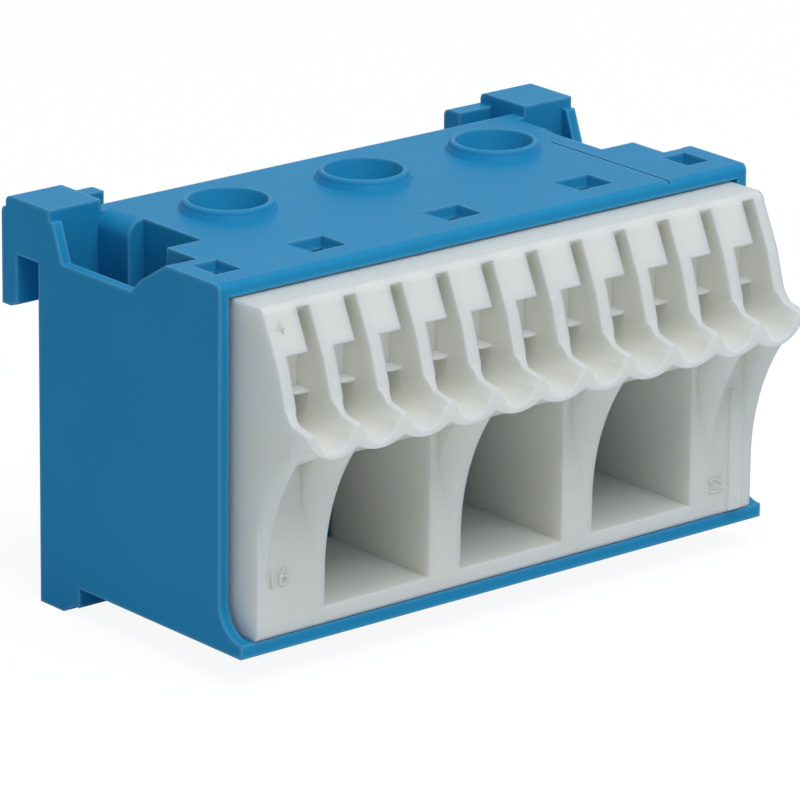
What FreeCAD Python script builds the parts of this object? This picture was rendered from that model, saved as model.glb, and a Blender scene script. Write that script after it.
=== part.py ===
import FreeCAD, Part
import os
import Sketcher
from FreeCAD import Vector

# Connector terminal block: eleven small push-in channels above three large cable clamps.
# Every piece is drawn in one drawing frame. Its X = 0 is the housing's left face, its Y = 0 the front
# of the cup rims and its Z = 0 the underside of the feet. Each piece is then placed so that the part's
# own origin lies at the bottom centre of its box. Heights and depths named below are taken from the
# underside and the front edge of the housing's base plate, unless their names say otherwise. Names
# that end in _below are measured down from the top face of the roof.

SIZES = {
    # Housing shell
    "housing_height": 32.0,
    "side_wall": 1.05,
    "roof_wall": 1.2,
    "base_wall": 1.2,
    "rear_wall": 1.5,
    "roof_setback": 3.0,
    "roof_edge_radius": 0.6,
    "cheek_toe_radius": 3.0,
    # Rail hooks and feet
    "hook_width": 9.4,
    "hook_slot": 3.1,
    "hook_thickness": 2.1,
    "hook_slot_below": 4.0,
    "hook_tip_below": 8.8,
    "hook_lead": 0.9,
    "arm_width": 5.6,
    "arm_rise": 1.0,
    "foot_length": 5.5,
    "foot_drop": 2.7,
    "foot_heel": 1.8,
    "foot_toe": 0.5,
    "foot_slope": 1.7,
    # Dip in each side wall and the open corner pockets
    "dip_front": 10.3,
    "dip_inset": 2.0,
    "dip_below": 3.4,
    "dip_ramp": 4.7,
    "dip_knee": 1.3,
    "corner_step_width": 3.3,
    "corner_step_front": 10.2,
    "corner_width": 7.0,
    "corner_front": 14.3,
    "corner_inset": 5.7,
    "corner_rib_edge": 5.3,
    "corner_rib_round": 1.6,
    "corner_floor": 6.0,
    # Screwdriver funnels and the wells under them
    "clamp_axis_depth": 20.2,
    "funnel_rise": 0.9,
    "funnel_rim_radius": 4.0,
    "funnel_rim_round": 0.35,
    "funnel_base_radius": 4.35,
    "funnel_mouth_radius": 3.5,
    "throat_radius": 2.7,
    "throat_top_below": 1.1,
    "throat_bottom_below": 3.3,
    "guide_wall": 1.0,
    "guide_below": 6.8,
    "well_clearance": 0.4,
    # Latch windows and mould seam in the roof
    "window_width": 2.6,
    "window_length": 3.3,
    "window_front": 5.8,
    "window_edge": 3.2,
    "window_ramp": 1.5,
    "window_ramp_drop": 0.5,
    "seam_inset": 9.1,
    "seam_width": 0.25,
    "seam_depth": 0.3,
    "seam_length": 17.0,
    # Front cover
    "cover_front": 0.25,
    "shelf_below": 20.1,
    "cover_head_rear": 9.9,
    "cover_gap": 0.2,
    "cover_side_gap": 0.5,
    "brow_below": 2.2,
    "brow_reach": 1.05,
    "brow_round": 1.1,
    "cover_chamfer": 0.4,
    "waist_below": 6.0,
    "waist_reach": 2.85,
    "chin_below": 9.4,
    "chin_reach": 3.85,
    "jaw_below": 10.5,
    "jaw_reach": 4.65,
    "lip_reach": 6.65,
    "lip_below": 10.9,
    "soffit_reach": 4.6,
    "soffit_drop": 0.15,
    "soffit_foot_below": 16.0,
    # Push-in channels
    "channel_count": 11,
    "channel_pitch": 5.0,
    "channels_per_clamp": 3,
    "end_margin": 2.05,
    "rib_width": 1.3,
    "cup_radius": 2.45,
    "cup_wall": 1.1,
    "cup_below": 9.9,
    "cup_valley_below": 12.75,
    "cup_end_below": 11.1,
    "entry_radius": 1.8,
    "entry_below": 11.15,
    "entry_depth": 1.0,
    "web_below": 9.4,
    "web_thickness": 0.25,
    "window_recess_depth": 0.6,
    "block_below": 5.25,
    "release_slot_width": 1.35,
    "release_slot_below": 1.6,
    "release_slot_depth": 2.4,
    "release_slot_rise": 1.6,
    "trough_rise": 0.7,
    "chamber_front": 5.0,
    "chamber_below": 2.6,
    # Fins under the lip
    "fin_foot": 6.0,
    "fin_sweep": 20.0,
    "fin_turn_angle": 45.0,
    "fin_round": 1.2,
    "fin_root": 3.0,
    "pillar_fin_width": 2.6,
    "edge_fin_width": 1.1,
    "side_fin_inset": 0.7,
    "side_fin_width": 1.8,
    "key_rib_width": 1.5,
    "key_rib_inset": 1.25,
    "key_rib_foot": 1.6,
    "key_rib_shoulder_below": 22.2,
    "key_rib_point_below": 19.2,
    "key_rib_relief": 0.3,
    # Large cable entries
    "entry_width": 11.5,
    "entry_floor": 2.9,
    "ceiling_below": 21.0,
    "entry_slope_depth": 11.0,
    # Current bar
    "bar_end_gap": 2.0,
    "bar_front": 4.4,
    "bar_thickness": 2.0,
    "bar_below": 15.1,
    "bar_seat_gap": 0.1,
    "leg_gap": 0.6,
    "tongue_below": 19.8,
    "tongue_overhang": 0.4,
    "tongue_width": 8.0,
    # Clamp cages
    "cage_width": 10.8,
    "cage_length": 7.8,
    "cage_wall": 1.0,
    "cage_floor": 1.2,
    "cage_bottom": 1.5,
    "cage_roof": 2.5,
    "cage_tongue_gap": 0.8,
    "cage_round": 0.8,
    "cage_front_gap": 3.2,
    "cage_rear_gap": 2.3,
    # Clamp screws
    "screw_radius": 2.5,
    "screw_clearance": 0.1,
    "head_radius": 3.0,
    "head_clearance": 0.3,
    "head_height": 2.8,
    "head_top_gap": 0.3,
    "screw_tip_gap": 0.3,
    "screw_chamfer": 0.5,
    "screw_slot_width": 1.0,
    "screw_slot_depth": 1.3,
    # Push-in springs
    "post_depth": 6.3,
    "post_below": 4.8,
    "post_radius": 0.6,
    "spring_clearance": 0.1,
    "spring_thickness": 0.45,
    "leg_root": 0.1,
    "spring_side_gap": 0.15,
    "spring_tip_depth": 8.1,
    "spring_tip_gap": 0.15,
    # How far cuts run past the faces they open
    "overcut": 1.0,
}

PART_NAMES = []

doc = FreeCAD.newDocument("TerminalBlock")
sheet = doc.addObject("Spreadsheet::Sheet", "Sizes")


class Size:
    """A length that carries its own expression on the sheet of sizes."""

    def __init__(self, value, text):
        self.value = value
        self.text = text

    def __add__(self, other):
        other = as_size(other)
        return Size(self.value + other.value, f"({self.text} + {other.text})")

    def __sub__(self, other):
        other = as_size(other)
        return Size(self.value - other.value, f"({self.text} - {other.text})")

    def __mul__(self, other):
        other = as_size(other)
        return Size(self.value * other.value, f"({self.text} * {other.text})")

    def __truediv__(self, other):
        other = as_size(other)
        return Size(self.value / other.value, f"({self.text} / {other.text})")

    def __radd__(self, other):
        return as_size(other) + self

    def __rsub__(self, other):
        return as_size(other) - self

    def __rmul__(self, other):
        return as_size(other) * self


def as_size(number):
    """A plain number as a Size, so that both can stand in one formula."""
    if isinstance(number, Size):
        return number
    return Size(float(number), repr(float(number)))


def fill_sheet():
    """Write every driving dimension into the sheet and give its cell an alias."""
    for row, (name, value) in enumerate(SIZES.items(), start=1):
        sheet.set(f"A{row}", name)
        sheet.set(f"B{row}", str(value))
        sheet.setAlias(f"B{row}", name)
    doc.recompute()


def size(name):
    """The named driving dimension."""
    return Size(float(sheet.get(name)), f"Sizes.{name}")


def bind(thing, prop, length):
    """Tie a property of an object to a Size."""
    thing.setExpression(prop, as_size(length).text)


# Places that follow from the sizes


def clamp_pitch():
    """The spacing of the clamps: so many channels to each."""
    return size("channels_per_clamp") * size("channel_pitch")


def housing_width():
    """The row of channels and a margin at each end."""
    return size("channel_count") * size("channel_pitch") + size("end_margin") * 2


def cage_front():
    """The depth of the clamp cages' front faces."""
    return size("clamp_axis_depth") - size("cage_length") / 2


def cover_rear():
    """The depth of the cover's rear face, ahead of the cages."""
    return cage_front() - size("cage_front_gap")


def well_rear():
    """The depth of the rear wall's inner face, behind the cages."""
    return cage_front() + size("cage_length") + size("cage_rear_gap")


def housing_depth():
    """The depth of the housing's rear face."""
    return well_rear() + size("rear_wall")


def hook_reach():
    """The depth of the rail hooks' rear faces."""
    return housing_depth() + size("hook_slot") + size("hook_thickness")


def depth(length):
    """A depth behind the base plate's front edge, in the drawing frame."""
    return size("lip_reach") + length


def height(length):
    """A height above the base plate's underside, in the drawing frame."""
    return size("foot_drop") + length


def under_roof(drop):
    """A height below the roof's top face, in the drawing frame."""
    return height(size("housing_height") - drop)


def bar_top():
    """The height of the current bar's upper face."""
    return under_roof(size("bar_below")) + size("bar_thickness")


def clamp_x(number):
    """The X of a clamp's axis, for clamps 0 to 2."""
    return housing_width() / 2 + (number - 1) * clamp_pitch()


def first_channel_x():
    """The X of the first push-in channel's centre."""
    return housing_width() / 2 - (size("channel_count") - 1) / 2 * size("channel_pitch")


def channel_half():
    """Half the clear width between two ribs."""
    return (size("channel_pitch") - size("rib_width")) / 2


def cover_width():
    """The bay's width less a gap at each side."""
    return housing_width() - cover_left() * 2


def cover_left():
    """The X of the cover's left face."""
    return size("side_wall") + size("cover_side_gap")


def bar_half_length():
    """Half the current bar's length, within the cover."""
    return cover_width() / 2 - size("bar_end_gap")


def cup_bottom():
    """The Z of the lowest line under each push-in cup."""
    return under_roof(size("cup_below") + size("cup_radius") + size("cup_wall"))


# Sketches and features


def plane_of(body, role):
    """One of the body's own origin planes or axes."""
    for feature in body.Origin.OriginFeatures:
        if feature.Role == role:
            return feature
    raise ValueError(role)


def new_sketch(body, name, role, offset=0.0):
    """An empty sketch on an origin plane, moved along the plane's normal."""
    sketch = body.newObject("Sketcher::SketchObject", name)
    sketch.AttachmentSupport = [(plane_of(body, role), "")]
    sketch.MapMode = "FlatFace"
    bind(sketch, ".AttachmentOffset.Base.z", offset)
    return sketch


def pin(sketch, geometry, end, across, up):
    """Hold one point of the geometry at a place given by two Sizes."""
    for kind, length in (("DistanceX", across), ("DistanceY", up)):
        length = as_size(length)
        index = sketch.addConstraint(Sketcher.Constraint(kind, -1, 1, geometry, end, length.value))
        if "Sizes" in length.text:
            sketch.setExpression(f"Constraints[{index}]", length.text)


def vector(point):
    """A sketch point as a vector of plain numbers."""
    return Vector(as_size(point[0]).value, as_size(point[1]).value, 0)


def add_outline(sketch, steps):
    """A closed outline. A step of two Sizes is a corner; one of four is an arc's middle and its end."""
    start = steps[0]
    edges = []
    here = start
    steps = list(steps[1:])
    if (vector(steps[-1][-2:]) - vector(start)).Length > 1e-6:
        steps.append(start)
    for step in steps:
        if len(step) == 4:
            middle, there = step[:2], step[2:]
            arc = Part.Arc(vector(here), vector(middle), vector(there))
            edge = sketch.addGeometry(arc, False)
            turned = (sketch.getPoint(edge, 1) - vector(here)).Length > 1e-6
            ends = (2, 1) if turned else (1, 2)
            mark = sketch.addGeometry(Part.Point(vector(middle)), True)
            pin(sketch, mark, 1, *middle)
            sketch.addConstraint(Sketcher.Constraint("PointOnObject", mark, 1, edge))
        else:
            there = step
            edge = sketch.addGeometry(Part.LineSegment(vector(here), vector(there)), False)
            ends = (1, 2)
        pin(sketch, edge, ends[0], *here)
        edges.append((edge, ends))
        here = there
    for (edge, ends), (following, next_ends) in zip(edges, edges[1:] + edges[:1]):
        sketch.addConstraint(
            Sketcher.Constraint("Coincident", edge, ends[1], following, next_ends[0])
        )


def rectangle(left, bottom, right, top):
    """The four corners of an upright rectangle."""
    return [(left, bottom), (right, bottom), (right, top), (left, top)]


def add_circle(sketch, across, up, radius):
    """A circle held by its centre and radius."""
    centre = vector((across, up))
    circle = sketch.addGeometry(Part.Circle(centre, Vector(0, 0, 1), as_size(radius).value), False)
    pin(sketch, circle, 3, across, up)
    index = sketch.addConstraint(Sketcher.Constraint("Radius", circle, as_size(radius).value))
    sketch.setExpression(f"Constraints[{index}]", as_size(radius).text)


def add_axis(sketch, start, end):
    """A construction line, to turn an outline about."""
    axis = sketch.addGeometry(Part.LineSegment(vector(start), vector(end)), True)
    pin(sketch, axis, 1, *start)
    pin(sketch, axis, 2, *end)


def extrude(body, kind, name, sketch, length, reverse=False):
    """A Pad or a Pocket of a sketch."""
    feature = body.newObject(f"PartDesign::{kind}", name)
    feature.Profile = sketch
    feature.Type = "Length"
    bind(feature, "Length", length)
    feature.Reversed = reverse
    body.Tip = feature
    return feature


def outline_feature(body, kind, name, role, offset, outlines, length, reverse=False):
    """A Pad or Pocket of one or more closed outlines."""
    sketch = new_sketch(body, f"{name}_sketch", role, offset)
    for steps in outlines:
        add_outline(sketch, steps)
    return extrude(body, kind, name, sketch, length, reverse)


def turned_feature(body, kind, name, role, offset, steps, axis):
    """A Revolution or Groove of an outline about a line between two points."""
    sketch = new_sketch(body, f"{name}_sketch", role, offset)
    add_outline(sketch, steps)
    add_axis(sketch, *axis)
    feature = body.newObject(f"PartDesign::{kind}", name)
    feature.Profile = sketch
    feature.ReferenceAxis = (sketch, ["Axis0"])
    feature.Angle = 360
    body.Tip = feature
    return feature


def row_pattern(body, name, features, spacing, count):
    """Repeat features along X."""
    pattern = body.newObject("PartDesign::LinearPattern", name)
    pattern.Originals = features
    pattern.Direction = (plane_of(body, "X_Axis"), [""])
    pattern.Mode = "Spacing"
    bind(pattern, "Offset", spacing)
    if isinstance(count, Size):
        bind(pattern, "Occurrences", count)
    else:
        pattern.Occurrences = count
    body.Tip = pattern
    return pattern


def new_body(name):
    """A body whose label names its file."""
    body = doc.addObject("PartDesign::Body", name)
    body.Label = name
    PART_NAMES.append(name)
    return body


def place(body, across=None):
    """Move a piece from the drawing frame to the part's frame, and along X if asked."""
    shift = 0 - housing_width() / 2
    if across is not None:
        shift = shift + across
    bind(body, ".Placement.Base.x", shift)
    bind(body, ".Placement.Base.y", 0 - (size("lip_reach") + hook_reach()) / 2)


# Housing


def housing_shell(body):
    """The moulded box: outline, the bay for the cover and the roof's rounded front edge."""
    front = depth(as_size(0))
    rear = depth(housing_depth())
    bottom = height(as_size(0))
    top = height(size("housing_height"))
    roof_front = depth(size("roof_setback"))
    edge = size("roof_edge_radius")
    toe = size("cheek_toe_radius")
    plate_top = height(size("base_wall"))
    bend = 0.70711
    outline = [
        (front, bottom),
        (rear, bottom),
        (rear, top),
        (roof_front + edge, top),
        (roof_front + edge * (1 - bend), top - edge * (1 - bend), roof_front, top - edge),
        (roof_front, plate_top + toe),
        (front + size("roof_setback") * bend, plate_top + toe * (1 - bend), front, plate_top),
    ]
    outline_feature(body, "Pad", "shell", "YZ_Plane", 0, [outline], housing_width())
    bay = rectangle(
        size("side_wall"),
        plate_top,
        housing_width() - size("side_wall"),
        top - size("roof_wall"),
    )
    bay_depth = cover_rear() + size("cover_gap")
    outline_feature(body, "Pocket", "cover_bay", "XZ_Plane", 0, [bay], depth(bay_depth))


def housing_clamps(body):
    """The three cage wells, the screw head guides under the roof and the funnels on it."""
    across = clamp_x(0)
    axis_depth = depth(size("clamp_axis_depth"))
    half_well = size("cage_width") / 2 + size("well_clearance")
    ceiling = height(size("housing_height") - size("roof_wall"))
    well = rectangle(across - half_well, height(size("base_wall")), across + half_well, ceiling)
    wells = outline_feature(
        body,
        "Pocket",
        "cage_well",
        "XZ_Plane",
        0,
        [well],
        depth(well_rear()),
    )
    guide_radius = size("head_radius") + size("head_clearance")
    rim = height(size("housing_height") + size("funnel_rise"))
    roof = height(size("housing_height"))
    rim_radius = size("funnel_rim_radius")
    edge = size("funnel_rim_round")
    bend = 0.29289
    boss = [
        (across, under_roof(size("guide_below"))),
        (across + guide_radius + size("guide_wall"), under_roof(size("guide_below"))),
        (across + guide_radius + size("guide_wall"), ceiling),
        (across + size("funnel_base_radius"), roof),
        (across + rim_radius, rim - edge),
        (across + rim_radius - edge * bend, rim - edge * bend, across + rim_radius - edge, rim),
        (across, rim),
    ]
    low = under_roof(size("guide_below")) - size("overcut")
    high = rim + size("overcut")
    axis = ((across, low), (across, high))
    bosses = turned_feature(
        body, "Revolution", "funnel_boss", "XZ_Plane", 0 - axis_depth, boss, axis
    )
    mouth = size("funnel_mouth_radius")
    throat = size("throat_radius")
    bore = [
        (across, low),
        (across + guide_radius, low),
        (across + guide_radius, under_roof(size("throat_bottom_below"))),
        (across + throat, under_roof(size("throat_bottom_below"))),
        (across + throat, under_roof(size("throat_top_below"))),
        (across + mouth, rim),
        (across + mouth, high),
        (across, high),
    ]
    bores = turned_feature(
        body, "Groove", "funnel_bore", "XZ_Plane", 0 - axis_depth, bore, axis
    )
    row_pattern(body, "clamp_row", [wells, bosses, bores], clamp_pitch(), 3)


def housing_ends(body):
    """Rail hooks and feet at both ends of the rear, and the dips in the side walls."""
    hook_width = size("hook_width")
    rear = depth(housing_depth())
    top = height(size("housing_height"))
    tip_front = rear + size("hook_slot")
    tip_rear = depth(hook_reach())
    slot_top = under_roof(size("hook_slot_below"))
    tip = under_roof(size("hook_tip_below"))
    edge = size("roof_edge_radius")
    bend = 0.29289
    lead = size("hook_lead")
    hook = [
        (tip_front, tip + lead / 3),
        (tip_front + lead, tip),
        (tip_rear, tip),
        (tip_rear, top - edge),
        (tip_rear - edge * bend, top - edge * bend, tip_rear - edge, top),
        (tip_front, top),
    ]
    hooks = outline_feature(body, "Pad", "rail_hook", "YZ_Plane", 0, [hook], hook_width)
    arm_front = depth(well_rear())
    arm_top = height(size("housing_height") + size("arm_rise"))
    arm = [
        (arm_front, slot_top),
        (tip_rear - edge, slot_top),
        (tip_rear - edge, arm_top - edge),
        (tip_rear - edge * (1 + bend), arm_top - edge * bend, tip_rear - edge * 2, arm_top),
        (arm_front, arm_top),
    ]
    arm_width = size("arm_width")
    arms = outline_feature(body, "Pad", "hook_arm", "YZ_Plane", 0, [arm], arm_width)
    row_pattern(body, "hook_arms", [arms], housing_width() - arm_width, 2)
    foot_front = depth(housing_depth() - size("foot_length"))
    base = height(as_size(0))
    toe = size("foot_toe")
    foot = [
        (foot_front, base - size("foot_heel")),
        (foot_front + toe, base - size("foot_heel")),
        (foot_front + toe + size("foot_slope"), as_size(0)),
        (rear, as_size(0)),
        (rear, base + toe),
        (foot_front, base + toe),
    ]
    feet = outline_feature(body, "Pad", "foot", "YZ_Plane", 0, [foot], hook_width)
    row_pattern(body, "rear_ends", [hooks, feet], housing_width() - hook_width, 2)
    dip_front = depth(size("dip_front"))
    dip_rear = depth(housing_depth() - size("dip_inset"))
    dip = under_roof(size("dip_below"))
    notch = [
        (dip_front, top + size("overcut")),
        (dip_front, top),
        (dip_front + size("dip_ramp") - size("dip_knee"), dip + size("dip_knee")),
        (dip_front + size("dip_ramp"), dip),
        (dip_rear - size("dip_knee"), dip),
        (dip_rear, top),
        (dip_rear, top + size("overcut")),
    ]
    notches = outline_feature(
        body, "Pocket", "side_dip", "YZ_Plane", 0, [notch], size("side_wall"), True
    )
    spacing = housing_width() - size("side_wall")
    row_pattern(body, "side_dips", [notches], spacing, 2)


def corner_outline(mirrored):
    """The stepped mouth of a corner pocket, seen from above."""
    wall = size("side_wall")
    rib = housing_depth() - size("corner_inset")
    corners = [
        (wall, size("corner_step_front")),
        (size("corner_step_width"), size("corner_step_front")),
        (size("corner_step_width"), size("corner_front")),
        (size("corner_width"), size("corner_front")),
        (size("corner_width"), rib),
        (size("corner_rib_edge"), rib),
        (size("corner_rib_edge"), well_rear()),
        (wall, well_rear()),
    ]
    if mirrored:
        return [(housing_width() - across, depth(back)) for across, back in corners]
    return [(across, depth(back)) for across, back in corners]


def corner_round(mirrored):
    """The waste at the rounded top corner of the rib behind a corner pocket, seen from the front."""
    edge = size("corner_rib_edge")
    turn = size("corner_rib_round")
    roof = height(size("housing_height"))
    bend = 0.29289
    steps = [
        (edge - turn, roof - turn),
        (edge, roof - turn),
        (edge + turn * bend, roof - turn * bend, edge + turn, roof),
        (edge + turn, roof + turn),
        (edge - turn, roof + turn),
    ]
    if not mirrored:
        return steps
    width = housing_width()
    return [
        tuple(length if place % 2 else width - length for place, length in enumerate(step))
        for step in steps
    ]


def housing_roof(body):
    """The corner pockets, the five latch windows with their ramps and the mould seam."""
    above = height(size("housing_height")) + size("overcut")
    pockets = [corner_outline(False), corner_outline(True)]
    pocket_depth = size("housing_height") + size("overcut") - size("corner_floor")
    outline_feature(body, "Pocket", "corner_pocket", "XY_Plane", above, pockets, pocket_depth)
    rib_front = depth(housing_depth() - size("corner_inset"))
    outline_feature(
        body,
        "Pocket",
        "rib_round",
        "XZ_Plane",
        0 - rib_front,
        [corner_round(False), corner_round(True)],
        depth(well_rear()) - rib_front,
    )
    half = size("window_width") / 2
    front = depth(size("window_front"))
    centres = [size("window_edge"), clamp_x(0), clamp_x(1), clamp_x(2)]
    centres.append(housing_width() - size("window_edge"))
    windows = [rectangle(x - half, front, x + half, front + size("window_length")) for x in centres]
    through = size("roof_wall") + size("overcut")
    outline_feature(body, "Pocket", "latch_window", "XY_Plane", above, windows, through)
    roof = height(size("housing_height"))
    foot = clamp_x(0) - half
    ramp = [
        (foot - size("window_ramp"), roof),
        (foot, roof - size("window_ramp_drop")),
        (foot + half, roof - size("window_ramp_drop")),
        (foot + half, above),
        (foot - size("window_ramp"), above),
    ]
    ramps = outline_feature(
        body, "Pocket", "window_ramp", "XZ_Plane", 0 - front, [ramp], size("window_length")
    )
    row_pattern(body, "window_ramps", [ramps], clamp_pitch(), 3)
    seam_x = housing_width() - size("seam_inset")
    seam_front = depth(size("roof_setback")) - size("overcut")
    seam = rectangle(
        seam_x, seam_front, seam_x + size("seam_width"), seam_front + size("seam_length")
    )
    cut = size("seam_depth") + size("overcut")
    outline_feature(body, "Pocket", "mould_seam", "XY_Plane", above, [seam], cut)


def make_housing():
    body = new_body("housing")
    housing_shell(body)
    housing_clamps(body)
    housing_ends(body)
    housing_roof(body)
    place(body)


# Front cover


def cover_block(body):
    """The cover's outline from the side, over its whole width."""
    front = depth(0 - size("cover_front"))
    base = height(size("base_wall"))
    top = height(size("housing_height") - size("roof_wall") - size("cover_gap"))
    head_rear = depth(size("cover_head_rear"))
    shelf = under_roof(size("shelf_below"))
    rear = depth(cover_rear())
    brow = depth(0 - size("brow_reach"))
    edge = size("cover_chamfer")
    turn = size("brow_round") * 0.22727
    outline = [
        (front, base + edge),
        (front + edge, base),
        (rear, base),
        (rear, shelf),
        (head_rear, shelf),
        (head_rear, top),
        (brow + size("brow_round"), top),
        (brow + turn, top - turn, brow, under_roof(size("brow_below"))),
        (depth(0 - size("waist_reach")), under_roof(size("waist_below"))),
        (depth(0 - size("chin_reach")), under_roof(size("chin_below"))),
        (depth(0 - size("jaw_reach")), under_roof(size("jaw_below"))),
        (as_size(0), under_roof(size("lip_below"))),
        (as_size(0), cup_bottom()),
        (depth(0 - size("soffit_reach")), cup_bottom() - size("soffit_drop")),
        (front, under_roof(size("soffit_foot_below"))),
    ]
    outline_feature(body, "Pad", "cover_block", "YZ_Plane", cover_left(), [outline], cover_width())


def cover_scallops(body):
    """The waves along the underside of the lip, one to each channel."""
    left = cover_left()
    right = left + cover_width()
    valley = under_roof(size("cup_valley_below"))
    low = cup_bottom() - size("overcut")
    end = under_roof(size("cup_end_below"))
    beyond = right + size("overcut")
    wave = [(left - size("overcut"), low), (beyond, low), (beyond, end), (right, end)]
    count = int(SIZES["channel_count"])
    for number in reversed(range(count)):
        centre = first_channel_x() + number * size("channel_pitch")
        if number:
            wave.append((centre, cup_bottom(), centre - size("channel_pitch") / 2, valley))
        else:
            wave.append((centre, cup_bottom(), left, end))
    wave.append((left - size("overcut"), end))
    reach = size("lip_reach") - size("soffit_reach")
    outline_feature(body, "Pocket", "scallops", "XZ_Plane", 0, [wave], reach)


def fin(body, name, left, right):
    """A fin that curves forward into the lip. Its left side is rounded and its right side sharp."""
    front = depth(0 - size("cover_front"))
    across = right - left
    bend = 0.29289
    outline = [
        (right, front),
        (left + across * bend, front + size("fin_round") * bend, left, front + size("fin_round")),
        (left, front + size("fin_root")),
        (right, front + size("fin_root")),
    ]
    pivot = front - size("fin_sweep")
    feature = turned_feature(
        body,
        "Revolution",
        name,
        "XY_Plane",
        height(size("fin_foot")),
        outline,
        ((left, pivot), (right, pivot)),
    )
    bind(feature, "Angle", size("fin_turn_angle"))
    feature.Refine = False
    return feature


def cover_fins(body):
    """The pillar fins left of each cable entry and the fins at both margins."""
    left = cover_left()
    right = left + cover_width()
    edge = clamp_x(0) - size("entry_width") / 2
    last_edge = clamp_x(2) + size("entry_width") / 2
    pillar = fin(body, "pillar_fin", edge - size("pillar_fin_width"), edge)
    row_pattern(body, "pillar_fins", [pillar], clamp_pitch(), 3)
    fin(body, "left_fin", left, left + size("edge_fin_width"))
    start = last_edge + size("side_fin_inset")
    fin(body, "right_fin", start, start + size("side_fin_width"))
    fin(body, "end_fin", right - size("edge_fin_width"), right)


def cover_key_rib(body):
    """The low pointed rib at the right of the cover's lower front."""
    right = cover_left() + cover_width() - size("key_rib_inset")
    left = right - size("key_rib_width")
    rib = [
        (left, height(size("key_rib_foot"))),
        (right, height(size("key_rib_foot"))),
        (right, under_roof(size("key_rib_shoulder_below"))),
        (left + size("key_rib_relief"), under_roof(size("key_rib_point_below"))),
        (left, under_roof(size("key_rib_point_below"))),
    ]
    front = depth(0 - size("cover_front") - size("key_rib_relief"))
    relief = size("key_rib_relief") + size("fin_root")
    outline_feature(body, "Pad", "key_rib", "XZ_Plane", 0 - front, [rib], relief, True)


def cover_channels(body):
    """Everything cut for one push-in channel, repeated along the row.

    The spring chamber's outline leaves a round post standing across the chamber.
    """
    across = first_channel_x()
    half = channel_half()
    inner_end = depth(0 - size("entry_depth"))
    chamber = depth(size("chamber_front"))
    radius = size("entry_radius")
    axis_height = under_roof(size("entry_below"))
    rim_height = under_roof(size("cup_below"))
    run_out = size("overcut") * 1.5
    rise = (rim_height - axis_height) / inner_end
    floor_rise = rise - (size("cup_radius") - radius) / inner_end
    mouth = (as_size(0) - run_out, rim_height + rise * run_out)
    funnel = [
        mouth,
        (as_size(0) - run_out, rim_height - size("cup_radius") + floor_rise * run_out),
        (inner_end, axis_height - radius),
        (inner_end, axis_height),
    ]
    scoop = turned_feature(
        body, "Groove", "scoop", "YZ_Plane", across, funnel, (mouth, (inner_end, axis_height))
    )
    block = under_roof(size("block_below"))
    trough = outline_feature(
        body,
        "Pocket",
        "trough",
        "XZ_Plane",
        0,
        [rectangle(across - half, axis_height + size("trough_rise"), across + half, block)],
        inner_end,
    )
    web_top = under_roof(size("web_below") - size("web_thickness"))
    recess = outline_feature(
        body,
        "Pocket",
        "upper_recess",
        "XZ_Plane",
        0,
        [rectangle(across - half, web_top, across + half, block)],
        depth(size("window_recess_depth")),
    )
    slot_top = under_roof(size("release_slot_below"))
    slot_face = depth(0 - size("brow_reach"))
    deep = size("release_slot_depth")
    rise = size("release_slot_rise")
    slot_profile = [
        (as_size(0), block - size("overcut") / 2),
        (chamber, block - size("overcut") / 2),
        (chamber, block + rise / 2),
        (slot_face + deep, block + rise),
        (slot_face + deep * 0.42, slot_top - rise * 0.44, slot_face - deep / 8, slot_top),
        (as_size(0), slot_top),
    ]
    slot = outline_feature(
        body,
        "Pocket",
        "release_slot",
        "YZ_Plane",
        across + half - size("release_slot_width"),
        [slot_profile],
        size("release_slot_width"),
        True,
    )
    web = under_roof(size("web_below"))
    hole = [
        (across - radius, axis_height),
        (across, axis_height - radius, across + radius, axis_height),
        (across + radius, web),
        (across - radius, web),
    ]
    wire_hole = outline_feature(body, "Pocket", "wire_hole", "XZ_Plane", 0, [hole], chamber)
    low = bar_top() + size("bar_seat_gap")
    head_rear = depth(size("cover_head_rear"))
    room = new_sketch(body, "spring_chamber_sketch", "YZ_Plane", across - half)
    chamber_top = under_roof(size("chamber_below"))
    add_outline(room, rectangle(chamber, low, head_rear + size("overcut"), chamber_top))
    add_circle(room, depth(size("post_depth")), under_roof(size("post_below")), size("post_radius"))
    chamber_cut = extrude(body, "Pocket", "spring_chamber", room, half * 2, True)
    features = [scoop, trough, recess, slot, wire_hole, chamber_cut]
    row_pattern(body, "channel_row", features, size("channel_pitch"), size("channel_count"))


def cover_entries(body):
    """The three large cable entries, with their sloping ceilings."""
    left = clamp_x(0) - size("entry_width") / 2
    front = depth(0 - size("cover_front"))
    beyond = depth(cover_rear()) + size("overcut")
    ceiling = under_roof(size("ceiling_below"))
    entry = [
        (front - size("overcut") / 2, height(size("entry_floor"))),
        (beyond, height(size("entry_floor"))),
        (beyond, ceiling),
        (depth(size("entry_slope_depth")), ceiling),
        (front, under_roof(size("soffit_foot_below"))),
        (front - size("overcut") / 2, under_roof(size("soffit_foot_below"))),
    ]
    cut = outline_feature(
        body, "Pocket", "cable_entry", "YZ_Plane", left, [entry], size("entry_width"), True
    )
    row_pattern(body, "entry_row", [cut], clamp_pitch(), 3)


def cover_bar_seat(body):
    """The slot for the current bar."""
    left = housing_width() / 2 - bar_half_length()
    right = housing_width() / 2 + bar_half_length()
    floor = under_roof(size("bar_below"))
    ceiling = floor + size("bar_thickness") + size("bar_seat_gap")
    head_rear = depth(size("cover_head_rear"))
    seat = rectangle(left, floor, right, ceiling)
    outline_feature(
        body,
        "Pocket",
        "bar_seat",
        "XZ_Plane",
        0 - (head_rear + size("overcut")),
        [seat],
        head_rear + size("overcut") - depth(size("bar_front")),
        True,
    )


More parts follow.
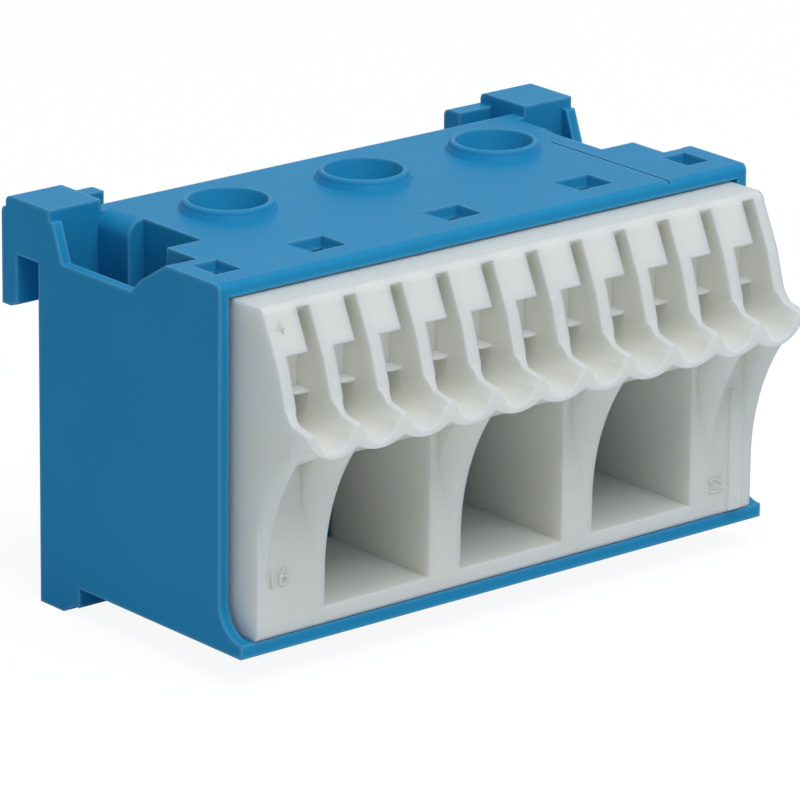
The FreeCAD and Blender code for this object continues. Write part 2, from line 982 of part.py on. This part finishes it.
def make_cover():
    body = new_body("front_cover")
    cover_block(body)
    cover_scallops(body)
    cover_fins(body)
    cover_key_rib(body)
    cover_entries(body)
    cover_bar_seat(body)
    cover_channels(body)
    place(body)


# Current bar


def make_busbar():
    body = new_body("busbar")
    middle = housing_width() / 2
    left = middle - bar_half_length()
    length = bar_half_length() * 2
    thick = size("bar_thickness")
    bar_front = depth(size("bar_front"))
    leg_front = depth(cage_front() - size("leg_gap") - size("bar_thickness"))
    tongue_end = depth(cage_front() + size("cage_length") + size("tongue_overhang"))
    bar = under_roof(size("bar_below"))
    tongue = under_roof(size("tongue_below"))
    outline = [
        (bar_front, bar),
        (leg_front, bar),
        (leg_front, tongue),
        (tongue_end, tongue),
        (tongue_end, tongue + thick),
        (leg_front + thick, tongue + thick),
        (leg_front + thick, bar + thick),
        (bar_front, bar + thick),
    ]
    outline_feature(body, "Pad", "bent_bar", "YZ_Plane", left, [outline], length)
    half_gap = (clamp_pitch() - size("tongue_width")) / 2
    gap_front = depth(cover_rear())
    gaps = []
    for number in range(4):
        centre = middle + (number - 1.5) * clamp_pitch()
        gap_end = tongue_end + size("overcut")
        gaps.append(rectangle(centre - half_gap, gap_front, centre + half_gap, gap_end))
    outline_feature(
        body, "Pocket", "tongue_gaps", "XY_Plane", bar + thick, gaps, bar + thick
    )
    place(body)


# Clamps


def make_cage(number):
    """A steel box that lifts the cable against the tongue."""
    body = new_body(f"clamp_cage_{number + 1}")
    half = size("cage_width") / 2
    inner = half - size("cage_wall")
    bottom = height(size("cage_bottom"))
    floor = bottom + size("cage_floor")
    tongue_top = under_roof(size("tongue_below")) + size("bar_thickness")
    roof = tongue_top + size("cage_tongue_gap")
    top = roof + size("cage_roof")
    axis_depth = depth(size("clamp_axis_depth"))
    front = depth(cage_front())
    turn = size("cage_round")
    cut = turn * 0.29289
    outer = [
        (0 - half + turn, bottom),
        (half - turn, bottom),
        (half - cut, bottom + cut, half, bottom + turn),
        (half, top - turn),
        (half - cut, top - cut, half - turn, top),
        (0 - half + turn, top),
        (0 - half + cut, top - cut, 0 - half, top - turn),
        (0 - half, bottom + turn),
        (0 - half + cut, bottom + cut, 0 - half + turn, bottom),
    ]
    hollow = rectangle(0 - inner, floor, inner, roof)
    outline_feature(
        body,
        "Pad",
        "box",
        "XZ_Plane",
        0 - front,
        [outer, hollow],
        size("cage_length"),
        True,
    )
    sketch = new_sketch(body, "screw_hole_sketch", "XY_Plane", top + size("overcut"))
    add_circle(sketch, as_size(0), axis_depth, size("screw_radius") + size("screw_clearance"))
    extrude(body, "Pocket", "screw_hole", sketch, size("cage_roof") + 2)
    place(body, clamp_x(number))


def make_screw(number):
    """A slotted screw, held under its funnel, that draws the cage up."""
    body = new_body(f"clamp_screw_{number + 1}")
    axis_depth = depth(size("clamp_axis_depth"))
    head_top = under_roof(size("throat_bottom_below") + size("head_top_gap"))
    head_bottom = head_top - size("head_height")
    tip = under_roof(size("tongue_below")) + size("bar_thickness") + size("screw_tip_gap")
    shank = size("screw_radius")
    head = size("head_radius")
    chamfer = size("screw_chamfer")
    outline = [
        (as_size(0), tip),
        (shank - chamfer, tip),
        (shank, tip + chamfer),
        (shank, head_bottom),
        (head, head_bottom),
        (head, head_top - chamfer),
        (head - chamfer, head_top),
        (as_size(0), head_top),
    ]
    axis = ((as_size(0), tip), (as_size(0), head_top))
    turned_feature(body, "Revolution", "screw", "XZ_Plane", 0 - axis_depth, outline, axis)
    half_slot = size("screw_slot_width") / 2
    slot = rectangle(
        0 - head - size("overcut"),
        axis_depth - half_slot,
        head + size("overcut"),
        axis_depth + half_slot,
    )
    cut = size("screw_slot_depth") + size("overcut")
    outline_feature(body, "Pocket", "driver_slot", "XY_Plane", head_top + size("overcut"), [slot], cut)
    place(body, clamp_x(number))


# Push-in springs


def make_spring(number):
    """A leaf with an eye about its post and a leg whose edge bears on the bar."""
    body = new_body(f"push_spring_{number + 1}")
    half = channel_half() - size("spring_side_gap")
    post_y = depth(size("post_depth"))
    post_z = under_roof(size("post_below"))
    inner = size("post_radius") + size("spring_clearance")
    outer = inner + size("spring_thickness")
    sketch = new_sketch(body, "eye_sketch", "YZ_Plane", 0 - half)
    add_circle(sketch, post_y, post_z, inner)
    add_circle(sketch, post_y, post_z, outer)
    extrude(body, "Pad", "eye", sketch, half * 2)
    tip_z = bar_top() + size("spring_tip_gap")
    tip_y = depth(size("spring_tip_depth"))
    leg_y = post_y - outer
    leg = [
        (leg_y, post_z - size("leg_root")),
        (leg_y + size("spring_thickness"), post_z - size("leg_root")),
        (tip_y + size("spring_thickness"), tip_z),
        (tip_y, tip_z),
    ]
    outline_feature(body, "Pad", "leg", "YZ_Plane", 0 - half, [leg], half * 2)
    place(body, first_channel_x() + number * size("channel_pitch"))


# Build, check and write


def check(thing):
    """Stop on a failed object or a broken shape."""
    if "Invalid" in thing.State or "Error" in thing.State:
        raise RuntimeError(f"{thing.Name} failed: {thing.State}")


fill_sheet()
make_housing()
make_cover()
make_busbar()
for clamp in range(3):
    make_cage(clamp)
    make_screw(clamp)
for channel in range(int(SIZES["channel_count"])):
    make_spring(channel)
doc.recompute()

for item in doc.Objects:
    check(item)

os.makedirs("parts", exist_ok=True)
for part_name in PART_NAMES:
    shape = doc.getObject(part_name).Shape
    if shape.isNull() or not shape.isValid():
        raise RuntimeError(f"{part_name} has no valid shape")
    shape.exportStep(f"parts/{part_name}.step")
    print(part_name, len(shape.Solids), "solid", round(shape.Volume, 2), "mm3", shape.BoundBox)
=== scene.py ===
"""Finishes, raised numerals and a studio for a quick connect terminal block."""

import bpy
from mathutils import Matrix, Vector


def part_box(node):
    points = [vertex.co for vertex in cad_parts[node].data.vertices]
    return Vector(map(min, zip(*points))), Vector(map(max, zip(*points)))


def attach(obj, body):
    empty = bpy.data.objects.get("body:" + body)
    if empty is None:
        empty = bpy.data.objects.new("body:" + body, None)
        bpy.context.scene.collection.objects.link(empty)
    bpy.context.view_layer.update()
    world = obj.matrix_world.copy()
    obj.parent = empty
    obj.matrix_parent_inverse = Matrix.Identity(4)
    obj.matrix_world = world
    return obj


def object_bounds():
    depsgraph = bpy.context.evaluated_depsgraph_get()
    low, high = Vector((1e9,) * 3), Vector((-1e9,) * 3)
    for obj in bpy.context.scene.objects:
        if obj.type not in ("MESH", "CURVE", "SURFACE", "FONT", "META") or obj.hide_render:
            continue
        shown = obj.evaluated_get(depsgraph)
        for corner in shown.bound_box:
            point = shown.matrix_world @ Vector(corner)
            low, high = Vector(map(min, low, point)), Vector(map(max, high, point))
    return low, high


bl_info = {
    "name": "Quick Connect Terminal Block",
    "version": (1, 0, 0),
    "blender": (4, 5, 0),
    "location": "3D View > Sidebar > Terminal Block",
    "description": "Finishes, raised numerals and a studio for a quick connect terminal block",
    "category": "Object",
}

import bpy
import numpy as np
from bpy.props import (
    FloatProperty,
    FloatVectorProperty,
    PointerProperty,
    StringProperty,
)
from mathutils import Matrix, Vector

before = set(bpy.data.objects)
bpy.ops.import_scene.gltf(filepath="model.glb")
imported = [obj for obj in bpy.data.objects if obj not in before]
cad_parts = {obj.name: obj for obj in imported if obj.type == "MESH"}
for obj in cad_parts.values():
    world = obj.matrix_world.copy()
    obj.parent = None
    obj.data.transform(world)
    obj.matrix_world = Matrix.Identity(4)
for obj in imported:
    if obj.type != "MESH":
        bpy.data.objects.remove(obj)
FRAME_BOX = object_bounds()
COVER_LOW, COVER_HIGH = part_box("front_cover")

MILLIMETRE = 0.001

# The cover's plain front face lies this far behind its lip, in millimetres. The block above each
# channel leans back by the slope.
LIP_DEPTH = 6.4
BROW_SLOPE = np.radians(25.3)

# Where each numeral starts, in millimetres: in from the cover's end, up from its underside, and for
# the one on the leaning block also how far ahead of the front face.
CLAMP_NUMERAL = (1.4, 4.56)
STRIP_NUMERAL = (3.55, 2.34)
CHANNEL_NUMERAL = (0.9, 27.25, 1.35)
STRIP_NUMERAL_SHARE = 0.8

# Roughness, specular level and share of scattered light of each moulded surface. The thin numerals
# scatter nothing, because they render dark when they do.
BLUE_SURFACE = {"roughness": 0.44, "gloss": 0.07, "milk": 0.0}
WHITE_SURFACE = {"roughness": 0.42, "gloss": 0.35, "milk": 0.9}
NUMERAL_SURFACE = {"roughness": 0.42, "gloss": 0.35, "milk": 0.0}

NYLON_IOR = 1.53
# Flow marks in a metre. One is about 11 mm wide.
FLOW_SCALE = 90.0
# How far light travels inside white nylon, in millimetres.
MILK_REACH = 2.0
# The painted edge highlight: the open share of the rays at which an edge starts to be painted paler
# and is palest, and how pale it gets.
EDGE_HIGHLIGHT_OPEN = (0.95, 0.55)
EDGE_HIGHLIGHT_STRENGTH = 0.75
# Rolling lines are finer than this on real strip. They are drawn at 0.2 mm so that they show.
ROLLING_LINE = 0.2

SENSOR_WIDTH = 36
NEAREST_SEEN = 0.01
FLOOR_HALF_WIDTH = 3.0
CARD_GREY = (0.85, 0.85, 0.85, 1)
# The camera sees the floor as mostly glow, and the rest as card that keeps the shadow.
FLOOR_GLOW = 1.08
FLOOR_GLOW_SHARE = 0.85
# The soft box's side, as a share of its distance.
KEY_SIZE_SHARE = 0.6


def linear(hex_colour):
    """An sRGB hex colour as linear red, green and blue, by the sRGB curve."""
    channels = np.array([int(hex_colour[i : i + 2], 16) for i in (1, 3, 5)]) / 255
    low = channels / 12.92
    high = ((channels + 0.055) / 1.055) ** 2.4
    return tuple(np.where(channels <= 0.04045, low, high).tolist())


def colour_property(name, description, hex_colour):
    """A colour that a user can change, with its default given as sRGB hex."""
    return FloatVectorProperty(
        name=name,
        description=description,
        subtype="COLOR",
        min=0,
        max=1,
        default=linear(hex_colour),
    )


def length_property(name, description, millimetres):
    """A length that a user can change, with its default given in millimetres."""
    return FloatProperty(
        name=name,
        description=description,
        subtype="DISTANCE",
        unit="LENGTH",
        min=0,
        precision=5,
        default=millimetres * MILLIMETRE,
    )


class TerminalFinishes(bpy.types.PropertyGroup):
    """Colours and surface sizes of the moulded and metal pieces."""

    blue: colour_property("Housing blue", "Colour of the dyed nylon housing", "#2798CD")
    blue_shade: colour_property("Housing shade", "Colour of the housing's flow marks", "#2292C6")
    # Colour of the painted highlight on the housing's outer edges.
    blue_edge_highlight: colour_property("Housing edge highlight", "Colour of the painted highlight on the housing's outer edges", "#63B4DE")
    white: colour_property("Cover white", "Colour of the dyed nylon cover", "#F3F3ED")
    white_shade: colour_property("Cover shade", "Colour of the cover's flow marks", "#EFEFE7")
    # Colour of the painted highlight on the cover's outer edges.
    white_edge_highlight: colour_property("Cover edge highlight", "Colour of the painted highlight on the cover's outer edges", "#FAFAF6")
    zinc: colour_property("Zinc plate", "Colour of the zinc plated steel", "#C3C4C0")
    brass: colour_property("Brass bar", "Colour of the rolled brass", "#CFAE6B")
    spring: colour_property("Spring strip", "Colour of the stainless spring strip", "#B9BABC")
    edge_radius: length_property("Edge radius", "Radius of the moulded edges", 0.22)
    # How far the painted edge highlight reaches in from an outer edge.
    edge_highlight_reach: length_property("Edge highlight reach", "How far the painted highlight reaches along a thin edge", 0.35)
    grain: length_property("Mould grain", "Width of the spark eroded mould's grain", 0.3)


class TerminalNumerals(bpy.types.PropertyGroup):
    """The small numerals that are raised on the cover."""

    height: length_property("Numeral height", "Height of a raised numeral", 1.75)
    small_height: length_property("Small numeral height", "Height by the channels", 1.2)
    relief: length_property("Numeral relief", "How far a numeral stands up", 0.12)
    channel_text: StringProperty(
        name="Channel numeral", description="Wire size at the small channels", default="4"
    )
    clamp_text: StringProperty(
        name="Clamp numeral", description="Wire size at the large entries", default="16"
    )
    strip_text: StringProperty(
        name="Strip numeral", description="Strip length at the cover's right end", default="12"
    )


class TerminalStudio(bpy.types.PropertyGroup):
    """The camera's place and the studio's light."""

    camera_place: FloatVectorProperty(
        name="Camera place",
        description="Where the camera stands",
        subtype="TRANSLATION",
        unit="LENGTH",
        default=(-0.342655, -0.406526, 0.191598),
    )
    azimuth: FloatProperty(
        name="Azimuth",
        description="Turn of the camera about the vertical",
        subtype="ANGLE",
        default=np.radians(-40.013),
    )
    elevation: FloatProperty(
        name="Elevation",
        description="How far the camera looks down",
        subtype="ANGLE",
        default=np.radians(18.261),
    )
    roll: FloatProperty(
        name="Roll",
        description="Turn of the camera about its own view",
        subtype="ANGLE",
        default=np.radians(0.609),
    )
    lens: FloatProperty(
        name="Lens",
        description="Focal length in millimetres on a 36 mm sensor",
        unit="CAMERA",
        default=288.8,
    )
    key_power: FloatProperty(
        name="Key light", description="Power in watts", unit="POWER", default=3.5
    )
    key_azimuth: FloatProperty(
        name="Key azimuth",
        description="Turn of the key light about the vertical",
        subtype="ANGLE",
        default=np.radians(-5),
    )
    key_elevation: FloatProperty(
        name="Key elevation",
        description="Height of the key light as an angle",
        subtype="ANGLE",
        default=np.radians(63),
    )
    key_distance: length_property("Key distance", "Distance of the key light", 800)
    sky: FloatProperty(name="Sky", description="Brightness of the pale surround", default=0.3)
    sky_tint: colour_property("Sky tint", "Colour of the light from the surround", "#DCEFFF")


# Materials


def add_node(tree, kind, settings=None, links=None):
    """Add a node. Settings are inputs by name or index, or attributes; links feed its inputs."""
    node = tree.nodes.new(kind)
    for key, value in (settings or {}).items():
        if isinstance(key, int) or key in node.inputs:
            node.inputs[key].default_value = value
        else:
            setattr(node, key, value)
    for key, socket in (links or {}).items():
        tree.links.new(socket, node.inputs[key])
    return node


def new_material(name):
    """An empty node material, its node tree and its Object coordinates."""
    material = bpy.data.materials.new(name)
    material.use_nodes = True
    tree = material.node_tree
    tree.nodes.clear()
    coordinates = add_node(tree, "ShaderNodeTexCoord").outputs["Object"]
    return material, tree, coordinates


def finish_material(tree, shader):
    """Join the shader to the material's output."""
    add_node(tree, "ShaderNodeOutputMaterial", links={"Surface": shader.outputs["BSDF"]})


def moulded_nylon(name, colour, shade, edge_highlight_colour, finishes, roughness, gloss, milk):
    """Dyed nylon from a spark eroded mould: satin, softly rounded at its edges and finely grained.

    Its outer edges are painted paler, a painted highlight where light would catch the thin corner.
    Gloss is its specular level.
    Milk is how much light spreads inside it, as in unfilled white nylon. A real mould's grain is
    finer than the default, which is drawn coarse enough to show.
    """
    material, tree, place = new_material(name)
    flow = add_node(
        tree, "ShaderNodeTexNoise", {"Scale": FLOW_SCALE, "Detail": 2.0}, {"Vector": place}
    )
    dye = add_node(
        tree,
        "ShaderNodeMix",
        {"data_type": "RGBA", 6: (*shade, 1), 7: (*colour, 1)},
        {0: flow.outputs["Fac"]},
    )
    # Rays sent inwards meet the other face of a corner within the reach, so this marks outer edges
    # for the painted highlight.
    corner = add_node(
        tree,
        "ShaderNodeAmbientOcclusion",
        {"inside": True, "only_local": True, "samples": 6, "Distance": finishes.edge_highlight_reach},
    )
    # Strength of the painted highlight, from none on open faces to the most at sharp outer edges.
    pale = add_node(
        tree,
        "ShaderNodeMapRange",
        {
            "From Min": EDGE_HIGHLIGHT_OPEN[0],
            "From Max": EDGE_HIGHLIGHT_OPEN[1],
            "To Min": 0.0,
            "To Max": EDGE_HIGHLIGHT_STRENGTH,
        },
        {"Value": corner.outputs["AO"]},
    )
    # Painted highlight: the dye is mixed towards the paler edge colour at outer edges.
    dye_and_edge_highlight = add_node(
        tree,
        "ShaderNodeMix",
        {"data_type": "RGBA", 7: (*edge_highlight_colour, 1)},
        {0: pale.outputs["Result"], 6: dye.outputs[2]},
    )
    grain_scale = 1 / finishes.grain
    grain = add_node(
        tree, "ShaderNodeTexNoise", {"Scale": grain_scale, "Detail": 3.0}, {"Vector": place}
    )
    sheen = add_node(
        tree,
        "ShaderNodeMapRange",
        {"To Min": roughness - 0.05, "To Max": roughness + 0.07},
        {"Value": grain.outputs["Fac"]},
    )
    edge = add_node(tree, "ShaderNodeBevel", {"samples": 6, "Radius": finishes.edge_radius})
    bump = add_node(
        tree,
        "ShaderNodeBump",
        {"Strength": 0.12, "Distance": 0.05 * MILLIMETRE},
        {"Height": grain.outputs["Fac"], "Normal": edge.outputs["Normal"]},
    )
    shader = add_node(
        tree,
        "ShaderNodeBsdfPrincipled",
        {
            "IOR": NYLON_IOR,
            "Specular IOR Level": gloss,
            "Subsurface Weight": milk,
            "Subsurface Radius": (1.0, 0.9, 0.75),
            "Subsurface Scale": MILK_REACH * MILLIMETRE,
        },
        {
            "Base Color": dye_and_edge_highlight.outputs[2],
            "Roughness": sheen.outputs["Result"],
            "Normal": bump.outputs["Normal"],
        },
    )
    finish_material(tree, shader)
    return material


def rolled_metal(name, colour, finishes, roughness, stretch):
    """Sheet or drawn metal: fine lines along the rolling direction that spread its highlights.

    Stretch scales the grain along each axis, so a low value draws it out into lines that way.
    """
    material, tree, place = new_material(name)
    lines = add_node(tree, "ShaderNodeMapping", {"Scale": stretch}, {"Vector": place})
    grain = add_node(
        tree,
        "ShaderNodeTexNoise",
        {"Scale": 1 / (ROLLING_LINE * MILLIMETRE), "Detail": 4.0},
        {"Vector": lines.outputs["Vector"]},
    )
    sheen = add_node(
        tree,
        "ShaderNodeMapRange",
        {"To Min": roughness - 0.08, "To Max": roughness + 0.1},
        {"Value": grain.outputs["Fac"]},
    )
    edge = add_node(tree, "ShaderNodeBevel", {"samples": 4, "Radius": finishes.edge_radius / 2})
    bump = add_node(
        tree,
        "ShaderNodeBump",
        {"Strength": 0.15, "Distance": 0.02 * MILLIMETRE},
        {"Height": grain.outputs["Fac"], "Normal": edge.outputs["Normal"]},
    )
    shader = add_node(
        tree,
        "ShaderNodeBsdfPrincipled",
        {"Base Color": (*colour, 1), "Metallic": 1.0},
        {"Roughness": sheen.outputs["Result"], "Normal": bump.outputs["Normal"]},
    )
    finish_material(tree, shader)
    return material


def dress(nodes, material):
    """Give CAD nodes one material, all over."""
    for name in nodes:
        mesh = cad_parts[name].data
        mesh.materials.clear()
        mesh.materials.append(material)


def numbered(prefix):
    """The CAD nodes whose names start with a prefix."""
    return [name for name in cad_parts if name.startswith(prefix)]


def raised_text(name, text, height, relief, start, along, up):
    """A mesh of raised text whose lower left corner is at start.

    Each point (x, y, z) of the flat text, scaled to the height, goes to start + x along + y up +
    z out, where out is the product of along and up. The text is sunk as deep as it stands up.
    """
    curve = bpy.data.curves.new(name, "FONT")
    curve.body = text
    curve.resolution_u = 4
    holder = bpy.data.objects.new(name, curve)
    bpy.context.collection.objects.link(holder)
    curve.extrude = 0.5
    depsgraph = bpy.context.evaluated_depsgraph_get()
    mesh = bpy.data.meshes.new_from_object(holder.evaluated_get(depsgraph))
    bpy.data.objects.remove(holder)
    bpy.data.curves.remove(curve)
    points = np.empty(len(mesh.vertices) * 3)
    mesh.vertices.foreach_get("co", points)
    points = points.reshape(-1, 3)
    low = points.min(axis=0)
    scale = height / (points.max(axis=0) - low)[1]
    flat = (points[:, :2] - low[:2]) * scale
    axes = np.array((along, up, Vector(along).cross(Vector(up))))
    placed = np.column_stack((flat, points[:, 2] * 2 * relief)) @ axes + np.array(start)
    mesh.vertices.foreach_set("co", placed.ravel())
    mesh.update()
    return mesh


# Operators


class TERMINAL_OT_housing(bpy.types.Operator):
    """Give the housing its blue moulded finish"""

    bl_idname = "terminal.housing"
    bl_label = "Housing finish"

    def execute(self, context):
        finishes = context.scene.terminal_finishes
        material = moulded_nylon(
            "moulded blue nylon",
            finishes.blue,
            finishes.blue_shade,
            finishes.blue_edge_highlight,
            finishes,
            **BLUE_SURFACE,
        )
        dress(["housing"], material)
        return {"FINISHED"}


class TERMINAL_OT_cover(bpy.types.Operator):
    """Give the front cover its white moulded finish"""

    bl_idname = "terminal.cover"
    bl_label = "Cover finish"

    def execute(self, context):
        finishes = context.scene.terminal_finishes
        material = moulded_nylon(
            "moulded white nylon",
            finishes.white,
            finishes.white_shade,
            finishes.white_edge_highlight,
            finishes,
            **WHITE_SURFACE,
        )
        dress(["front_cover"], material)
        return {"FINISHED"}


class TERMINAL_OT_numerals(bpy.types.Operator):
    """Raise the small numerals on the cover"""

    bl_idname = "terminal.numerals"
    bl_label = "Numerals"

    def execute(self, context):
        numerals = context.scene.terminal_numerals
        finishes = context.scene.terminal_finishes
        material = moulded_nylon(
            "raised white nylon",
            finishes.white,
            finishes.white_shade,
            finishes.white,
            finishes,
            **NUMERAL_SURFACE,
        )
        left, front, base = COVER_LOW
        front += LIP_DEPTH * MILLIMETRE
        right = COVER_HIGH[0]
        clamp_in, clamp_up = (value * MILLIMETRE for value in CLAMP_NUMERAL)
        strip_in, strip_up = (value * MILLIMETRE for value in STRIP_NUMERAL)
        channel_in, channel_up, channel_ahead = (value * MILLIMETRE for value in CHANNEL_NUMERAL)
        level = Vector((1, 0, 0))
        upright = Vector((0, 0, 1))
        places = (
            (
                "clamp_numeral",
                numerals.clamp_text,
                numerals.height,
                (left + clamp_in, front, base + clamp_up),
                (level, upright),
            ),
            (
                "strip_numeral",
                numerals.strip_text,
                numerals.height * STRIP_NUMERAL_SHARE,
                (right - strip_in, front, base + strip_up),
                (upright, -level),
            ),
            (
                "channel_numeral",
                numerals.channel_text,
                numerals.small_height,
                (left + channel_in, front - channel_ahead, base + channel_up),
                (level, Vector((0, np.sin(BROW_SLOPE), np.cos(BROW_SLOPE)))),
            ),
        )
        for name, text, height, start, directions in places:
            mesh = raised_text(name, text, height, numerals.relief, start, *directions)
            mesh.materials.append(material)
            piece = bpy.data.objects.new(name, mesh)
            context.collection.objects.link(piece)
            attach(piece, "terminal")
        return {"FINISHED"}


class TERMINAL_OT_metal(bpy.types.Operator):
    """Give the bar, cages, screws and springs their metals"""

    bl_idname = "terminal.metal"
    bl_label = "Metal finishes"

    def execute(self, context):
        finishes = context.scene.terminal_finishes
        brass = rolled_metal(
            "rolled brass", finishes.brass, finishes, roughness=0.32, stretch=(0.1, 1, 1)
        )
        zinc = rolled_metal(
            "zinc plated steel", finishes.zinc, finishes, roughness=0.38, stretch=(1, 1, 1)
        )
        strip = rolled_metal(
            "stainless strip", finishes.spring, finishes, roughness=0.28, stretch=(1, 1, 0.1)
        )
        dress(["busbar"], brass)
        dress(numbered("clamp_"), zinc)
        dress(numbered("push_spring_"), strip)
        return {"FINISHED"}


class TERMINAL_OT_studio(bpy.types.Operator):
    """Set up the camera, the floor, the pale surround and the key light"""

    bl_idname = "terminal.studio"
    bl_label = "Studio"

    def execute(self, context):
        studio = context.scene.terminal_studio
        self.add_camera(context, studio)
        self.add_floor(context)
        self.add_surround(context, studio)
        self.add_key_light(context, studio)
        context.scene.view_settings.view_transform = "Standard"
        return {"FINISHED"}

    def add_camera(self, context, studio):
        """Stand the camera at its place and turn it by azimuth, elevation and roll."""
        turn, tilt, roll = studio.azimuth, studio.elevation, studio.roll
        back = Vector(
            (np.sin(turn) * np.cos(tilt), -np.cos(turn) * np.cos(tilt), np.sin(tilt))
        )
        level = Vector((0, 0, 1)).cross(back).normalized()
        upright = back.cross(level)
        right = level * np.cos(roll) + upright * np.sin(roll)
        up = upright * np.cos(roll) - level * np.sin(roll)
        axes = Matrix((right, up, back)).transposed()
        data = bpy.data.cameras.new("studio_camera")
        data.lens = studio.lens
        data.sensor_width = SENSOR_WIDTH
        data.clip_start = NEAREST_SEEN
        camera = bpy.data.objects.new("studio_camera", data)
        camera.matrix_world = Matrix.Translation(studio.camera_place) @ axes.to_4x4()
        context.collection.objects.link(camera)
        context.scene.camera = camera

    def add_floor(self, context):
        """A pale floor that the camera sees as white, apart from the object's soft shadow."""
        half = FLOOR_HALF_WIDTH
        level = FRAME_BOX[0][2]
        square = ((-1, -1), (1, -1), (1, 1), (-1, 1))
        corners = [(x * half, y * half, level) for x, y in square]
        mesh = bpy.data.meshes.new("floor")
        mesh.from_pydata(corners, [], [(0, 1, 2, 3)])
        material, tree, _ = new_material("white card")
        seen = add_node(tree, "ShaderNodeLightPath")
        card = add_node(tree, "ShaderNodeBsdfDiffuse", {"Color": CARD_GREY})
        glow = add_node(tree, "ShaderNodeEmission", {"Strength": FLOOR_GLOW})
        share = add_node(
            tree,
            "ShaderNodeMath",
            {"operation": "MULTIPLY", 1: FLOOR_GLOW_SHARE},
            {0: seen.outputs["Is Camera Ray"]},
        )
        mixed = add_node(
            tree,
            "ShaderNodeMixShader",
            links={
                0: share.outputs["Value"],
                1: card.outputs["BSDF"],
                2: glow.outputs["Emission"],
            },
        )
        add_node(tree, "ShaderNodeOutputMaterial", links={"Surface": mixed.outputs["Shader"]})
        mesh.materials.append(material)
        floor = bpy.data.objects.new("floor", mesh)
        context.collection.objects.link(floor)

    def add_surround(self, context, studio):
        """A sky that lights softly and that the camera and reflections see as white."""
        world = bpy.data.worlds.new("pale_surround")
        world.use_nodes = True
        tree = world.node_tree
        tree.nodes.clear()
        path = add_node(tree, "ShaderNodeLightPath")
        direct = add_node(
            tree,
            "ShaderNodeMath",
            {"operation": "MAXIMUM"},
            {0: path.outputs["Is Camera Ray"], 1: path.outputs["Is Transmission Ray"]},
        )
        seen = add_node(
            tree,
            "ShaderNodeMath",
            {"operation": "MAXIMUM"},
            {0: direct.outputs["Value"], 1: path.outputs["Is Glossy Ray"]},
        )
        strength = add_node(
            tree,
            "ShaderNodeMapRange",
            {"To Min": studio.sky, "To Max": 1.0},
            {"Value": seen.outputs["Value"]},
        )
        tint = add_node(
            tree,
            "ShaderNodeMix",
            {"data_type": "RGBA", 6: (*studio.sky_tint, 1), 7: (1, 1, 1, 1)},
            {0: seen.outputs["Value"]},
        )
        sky = add_node(
            tree,
            "ShaderNodeBackground",
            links={"Color": tint.outputs[2], "Strength": strength.outputs["Result"]},
        )
        add_node(tree, "ShaderNodeOutputWorld", links={"Surface": sky.outputs["Background"]})
        context.scene.world = world

    def add_key_light(self, context, studio):
        """A large soft box high in front, turned a little to the left."""
        turn, tilt = studio.key_azimuth, studio.key_elevation
        toward = Vector(
            (np.sin(turn) * np.cos(tilt), -np.cos(turn) * np.cos(tilt), np.sin(tilt))
        )
        data = bpy.data.lights.new("key_light", "AREA")
        data.shape = "SQUARE"
        data.size = studio.key_distance * KEY_SIZE_SHARE
        data.energy = studio.key_power
        light = bpy.data.objects.new("key_light", data)
        turned = toward.to_track_quat("Z", "Y").to_matrix().to_4x4()
        light.matrix_world = Matrix.Translation(toward * studio.key_distance) @ turned
        context.collection.objects.link(light)


class TERMINAL_PT_panel(bpy.types.Panel):
    """Lists the terminal block's operators and settings"""

    bl_idname = "TERMINAL_PT_panel"
    bl_label = "Terminal Block"
    bl_space_type = "VIEW_3D"
    bl_region_type = "UI"
    bl_category = "Terminal Block"

    def draw(self, context):
        for operator in OPERATORS:
            self.layout.operator(operator.bl_idname)
        for name in SETTINGS:
            group = getattr(context.scene, name)
            box = self.layout.box()
            for prop in group.__annotations__:
                box.prop(group, prop)


OPERATORS = (
    TERMINAL_OT_housing,
    TERMINAL_OT_cover,
    TERMINAL_OT_numerals,
    TERMINAL_OT_metal,
    TERMINAL_OT_studio,
)
SETTINGS = {
    "terminal_finishes": TerminalFinishes,
    "terminal_numerals": TerminalNumerals,
    "terminal_studio": TerminalStudio,
}


def register():
    for group in SETTINGS.values():
        bpy.utils.register_class(group)
    for name, group in SETTINGS.items():
        setattr(bpy.types.Scene, name, PointerProperty(type=group))
    for operator in OPERATORS:
        bpy.utils.register_class(operator)
    bpy.utils.register_class(TERMINAL_PT_panel)


def unregister():
    bpy.utils.unregister_class(TERMINAL_PT_panel)
    for operator in reversed(OPERATORS):
        bpy.utils.unregister_class(operator)
    for name, group in SETTINGS.items():
        delattr(bpy.types.Scene, name)
        bpy.utils.unregister_class(group)


def main():
    register()
    bpy.ops.terminal.housing()
    bpy.ops.terminal.cover()
    bpy.ops.terminal.numerals()
    bpy.ops.terminal.metal()
    bpy.ops.terminal.studio()


if __name__ == "__main__":
    main()
